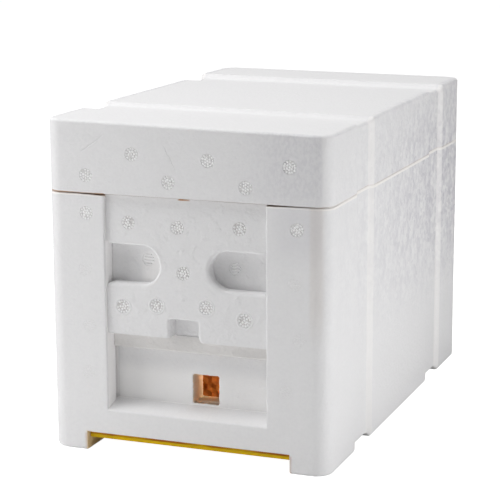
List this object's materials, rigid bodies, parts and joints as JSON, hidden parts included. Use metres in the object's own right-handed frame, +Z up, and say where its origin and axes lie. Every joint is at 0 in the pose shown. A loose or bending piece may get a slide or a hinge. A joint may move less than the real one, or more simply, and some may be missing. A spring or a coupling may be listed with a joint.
{
  "type": "queen mating nuc box",
  "caption": "Foam beekeeping nuc box with lift-off lid, sliding front door, ventilated floor slide, hanging wax frames, divider and feeder.",
  "frame": {"origin": "on the ground under the centre of the box's overall length and width", "axes": "+Z up; the front with the door and the entrance faces -Y, so +Y runs to the rear; +X is to the right when one looks at the front"},
  "size_m": [0.165, 0.272, 0.1879],
  "materials": {
    "foam": "moulded expanded foam, fine bead texture",
    "yellow_plastic": "satin moulded plastic",
    "wood": "planed, bare",
    "wax": "rolled wax foundation",
    "clear_plastic": "clear sheet",
    "white_plastic": "gloss moulded plastic"
  },
  "bodies": {
    "hive": {"hive_body": "foam"},
    "lid": {"lid": "foam"},
    "door": {"front_door": "foam"},
    "slide": {"floor_slide": "yellow_plastic"},
    "cover": {"inner_cover": "clear_plastic"},
    "divider": {"divider_board": "wood", "excluder_grille": "yellow_plastic"},
    "feeder": {"feeder_tank": "white_plastic"},
    "float": {"feeder_float": "white_plastic"},
    "frame_1": {"frame_1_top_bar": "wood", "frame_1_left_bar": "wood", "frame_1_right_bar": "wood", "frame_1_bottom_bar": "wood", "frame_1_wax_sheet": "wax"},
    "frame_2": {"frame_2_top_bar": "wood", "frame_2_left_bar": "wood", "frame_2_right_bar": "wood", "frame_2_bottom_bar": "wood", "frame_2_wax_sheet": "wax"},
    "frame_3": {"frame_3_top_bar": "wood", "frame_3_left_bar": "wood", "frame_3_right_bar": "wood", "frame_3_bottom_bar": "wood", "frame_3_wax_sheet": "wax"},
    "frame_4": {"frame_4_top_bar": "wood", "frame_4_left_bar": "wood", "frame_4_right_bar": "wood", "frame_4_bottom_bar": "wood", "frame_4_wax_sheet": "wax"},
    "frame_5": {"frame_5_top_bar": "wood", "frame_5_left_bar": "wood", "frame_5_right_bar": "wood", "frame_5_bottom_bar": "wood", "frame_5_wax_sheet": "wax"}
  },
  "joints": [
    {"name": "lid_lift", "type": "slide", "parent": "hive", "child": "lid", "axis": [0, 0, 1], "range_m": [0, 0.26]},
    {"name": "door_slide", "type": "slide", "parent": "hive", "child": "door", "axis": [0, 0, -1], "range_m": [0, 0.0302]},
    {"name": "slide_pull", "type": "slide", "parent": "hive", "child": "slide", "axis": [0, -1, 0], "range_m": [0, 0.2]},
    {"name": "cover_lift", "type": "slide", "parent": "hive", "child": "cover", "axis": [0, 0, 1], "range_m": [0, 0.195]},
    {"name": "divider_lift", "type": "slide", "parent": "hive", "child": "divider", "axis": [0, 0, 1], "range_m": [0, 0.1404]},
    {"name": "feeder_lift", "type": "slide", "parent": "hive", "child": "feeder", "axis": [0, 0, 1], "range_m": [0, 0.1404]},
    {"name": "float_rise", "type": "slide", "parent": "feeder", "child": "float", "axis": [0, 0, 1], "range_m": [0, 0.09]},
    {"name": "frame_1_lift", "type": "slide", "parent": "hive", "child": "frame_1", "axis": [0, 0, 1], "range_m": [0, 0.1404]},
    {"name": "frame_2_lift", "type": "slide", "parent": "hive", "child": "frame_2", "axis": [0, 0, 1], "range_m": [0, 0.1404]},
    {"name": "frame_3_lift", "type": "slide", "parent": "hive", "child": "frame_3", "axis": [0, 0, 1], "range_m": [0, 0.1404]},
    {"name": "frame_4_lift", "type": "slide", "parent": "hive", "child": "frame_4", "axis": [0, 0, 1], "range_m": [0, 0.1404]},
    {"name": "frame_5_lift", "type": "slide", "parent": "hive", "child": "frame_5", "axis": [0, 0, 1], "range_m": [0, 0.1404]}
  ],
  "couplings": [
    {"joint": "cover_lift", "follows": "lid_lift", "ratio": 0.75},
    {"joint": "divider_lift", "follows": "lid_lift", "ratio": 0.54},
    {"joint": "feeder_lift", "follows": "lid_lift", "ratio": 0.54},
    {"joint": "frame_1_lift", "follows": "lid_lift", "ratio": 0.54},
    {"joint": "frame_2_lift", "follows": "lid_lift", "ratio": 0.54},
    {"joint": "frame_3_lift", "follows": "lid_lift", "ratio": 0.54},
    {"joint": "frame_4_lift", "follows": "lid_lift", "ratio": 0.54},
    {"joint": "frame_5_lift", "follows": "lid_lift", "ratio": 0.54}
  ]
}
